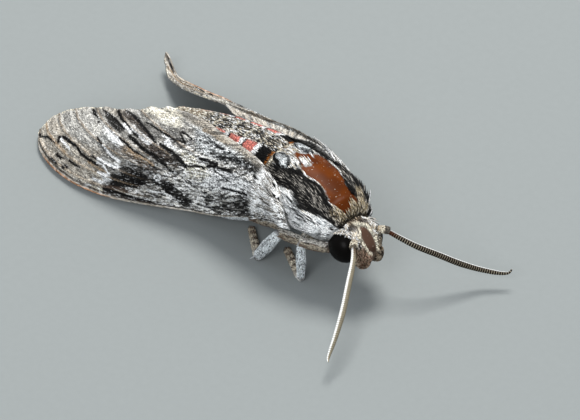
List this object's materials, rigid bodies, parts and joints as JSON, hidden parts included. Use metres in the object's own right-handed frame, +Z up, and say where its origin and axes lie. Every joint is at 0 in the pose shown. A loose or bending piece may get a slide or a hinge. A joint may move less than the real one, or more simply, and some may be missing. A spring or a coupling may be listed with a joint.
{
  "type": "hawk moth",
  "caption": "A resting male hawk moth with long grey forewings folded roof-like over a stout furry body, thick antennae held forward and feet flat on the ground.",
  "frame": {"origin": "middle of the moth's whole length and width, on the floor plane under its feet", "axes": "+X towards the head, +Y the moth's left side, +Z up"},
  "size_m": [0.0744, 0.0352, 0.0174],
  "materials": {
    "thorax_fur": "dense hair-like scales, matte",
    "abdomen_fur": "short flat scales, matte",
    "head_fur": "short hair-like scales, matte",
    "eye": "smooth, glossy black",
    "forewing": "fine flat scales, matte",
    "hindwing": "fine flat scales, matte",
    "leg": "scaled, matte",
    "antenna": "ringed, satin"
  },
  "bodies": {
    "root": {"thorax": "thorax_fur", "abdomen": "abdomen_fur", "head": "head_fur", "eye_right": "eye", "antenna_right": "antenna", "palp_right": "head_fur", "forewing_right": "forewing", "hindwing_right": "hindwing", "leg_fore_right": "leg", "leg_mid_right": "leg", "leg_hind_right": "leg", "eye_left": "eye", "antenna_left": "antenna", "palp_left": "head_fur", "forewing_left": "forewing", "hindwing_left": "hindwing", "leg_fore_left": "leg", "leg_mid_left": "leg", "leg_hind_left": "leg"}
  },
  "joints": []
}
